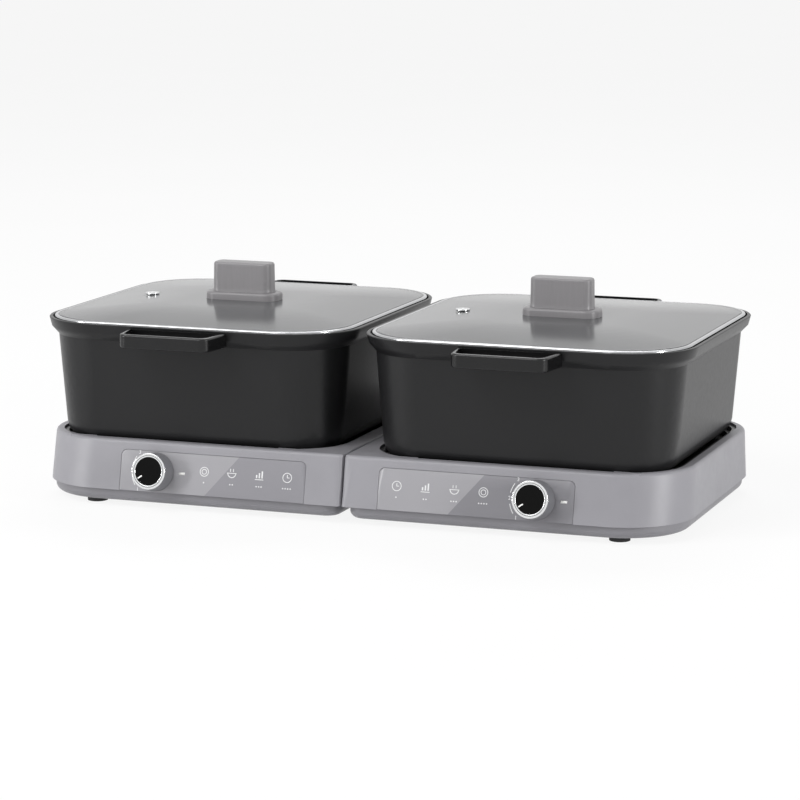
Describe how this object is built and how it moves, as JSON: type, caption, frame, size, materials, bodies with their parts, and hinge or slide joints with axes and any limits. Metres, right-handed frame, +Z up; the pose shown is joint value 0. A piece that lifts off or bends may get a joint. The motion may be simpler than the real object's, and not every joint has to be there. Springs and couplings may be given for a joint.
{
  "type": "electric hot pot with lid",
  "caption": "Table-top electric hot pot: rounded square black pots with flat glass lids, side by side in grey bases with front dials.",
  "frame": {"origin": "on the floor, midway between the two cookers, under the middle of the pots", "axes": "+X to the right seen from the front, -Y the front with the dials, +Z up"},
  "size_m": [0.5622, 0.348, 0.191],
  "materials": {
    "shell_plastic": "satin moulded",
    "tray_plastic": "satin moulded",
    "foot_rubber": "matt",
    "screw_steel": "plain",
    "pan_steel": "satin dark coat",
    "plate_aluminium": "cast, turned face",
    "tube_steel": "heat tinted",
    "thermostat_steel": "pressed",
    "fuse_ceramic": "plain",
    "panel_plastic": "satin in two tones",
    "lens_plastic": "clear white",
    "switch_plastic": "moulded",
    "shaft_steel": "turned",
    "dial_plastic": "satin",
    "dial_ring_chrome": "bright",
    "dial_face_plastic": "gloss",
    "board_plastic": "laminate",
    "inlet_plastic": "moulded",
    "pin_brass": "plated",
    "pot_coating": "black non-stick coat on cast aluminium",
    "handle_plastic": "satin",
    "lid_glass": "smoky toughened glass",
    "rim_steel": "polished",
    "vent_steel": "polished",
    "knob_plastic": "satin"
  },
  "bodies": {
    "left_base": {"left_upper_shell": "shell_plastic", "left_lower_tray": "tray_plastic", "left_rubber_feet": "foot_rubber", "left_case_screws": "screw_steel", "left_well_pan": "pan_steel", "left_heating_plate": "plate_aluminium", "left_heating_tube": "tube_steel", "left_thermostat": "thermostat_steel", "left_thermal_fuse": "fuse_ceramic", "left_control_panel": "panel_plastic", "left_lamp_lens": "lens_plastic", "left_rotary_switch": "switch_plastic", "left_control_board": "board_plastic", "left_power_inlet": "inlet_plastic", "left_inlet_pins": "pin_brass"},
    "left_dial": {"left_switch_shaft": "shaft_steel", "left_knob_body": "dial_plastic", "left_knob_ring": "dial_ring_chrome", "left_knob_face": "dial_face_plastic"},
    "left_pot": {"left_pot": "pot_coating", "left_pot_handle_front": "handle_plastic", "left_pot_handle_back": "handle_plastic", "left_handle_screws": "screw_steel"},
    "left_lid": {"left_lid_glass": "lid_glass", "left_lid_rim": "rim_steel", "left_steam_vent": "vent_steel", "left_lid_knob_collar": "knob_plastic", "left_lid_knob": "knob_plastic", "left_lid_knob_screw": "screw_steel"},
    "right_base": {"right_upper_shell": "shell_plastic", "right_lower_tray": "tray_plastic", "right_rubber_feet": "foot_rubber", "right_case_screws": "screw_steel", "right_well_pan": "pan_steel", "right_heating_plate": "plate_aluminium", "right_heating_tube": "tube_steel", "right_thermostat": "thermostat_steel", "right_thermal_fuse": "fuse_ceramic", "right_control_panel": "panel_plastic", "right_lamp_lens": "lens_plastic", "right_rotary_switch": "switch_plastic", "right_control_board": "board_plastic", "right_power_inlet": "inlet_plastic", "right_inlet_pins": "pin_brass"},
    "right_dial": {"right_switch_shaft": "shaft_steel", "right_knob_body": "dial_plastic", "right_knob_ring": "dial_ring_chrome", "right_knob_face": "dial_face_plastic"},
    "right_pot": {"right_pot": "pot_coating", "right_pot_handle_front": "handle_plastic", "right_pot_handle_back": "handle_plastic", "right_handle_screws": "screw_steel"},
    "right_lid": {"right_lid_glass": "lid_glass", "right_lid_rim": "rim_steel", "right_steam_vent": "vent_steel", "right_lid_knob_collar": "knob_plastic", "right_lid_knob": "knob_plastic", "right_lid_knob_screw": "screw_steel"}
  },
  "joints": [
    {"name": "cookers_apart", "type": "slide", "parent": "left_base", "child": "right_base", "axis": [1, 0, 0], "range_m": [0, 0.15]},
    {"name": "left_dial_turn", "type": "hinge", "parent": "left_base", "child": "left_dial", "pos_m": [-0.1646, -0.14064, 0.03211], "axis": [0, 0.977, -0.213], "range_deg": [-30, 75]},
    {"name": "left_pot_lift", "type": "slide", "parent": "left_base", "child": "left_pot", "axis": [0, 0, 1], "range_m": [0, 0.2]},
    {"name": "left_lid_lift", "type": "slide", "parent": "left_pot", "child": "left_lid", "axis": [0, 0, 1], "range_m": [0, 0.15]},
    {"name": "right_dial_turn", "type": "hinge", "parent": "right_base", "child": "right_dial", "pos_m": [0.1646, -0.14064, 0.03211], "axis": [0, 0.977, -0.213], "range_deg": [-30, 75]},
    {"name": "right_pot_lift", "type": "slide", "parent": "right_base", "child": "right_pot", "axis": [0, 0, 1], "range_m": [0, 0.2]},
    {"name": "right_lid_lift", "type": "slide", "parent": "right_pot", "child": "right_lid", "axis": [0, 0, 1], "range_m": [0, 0.15]}
  ]
}
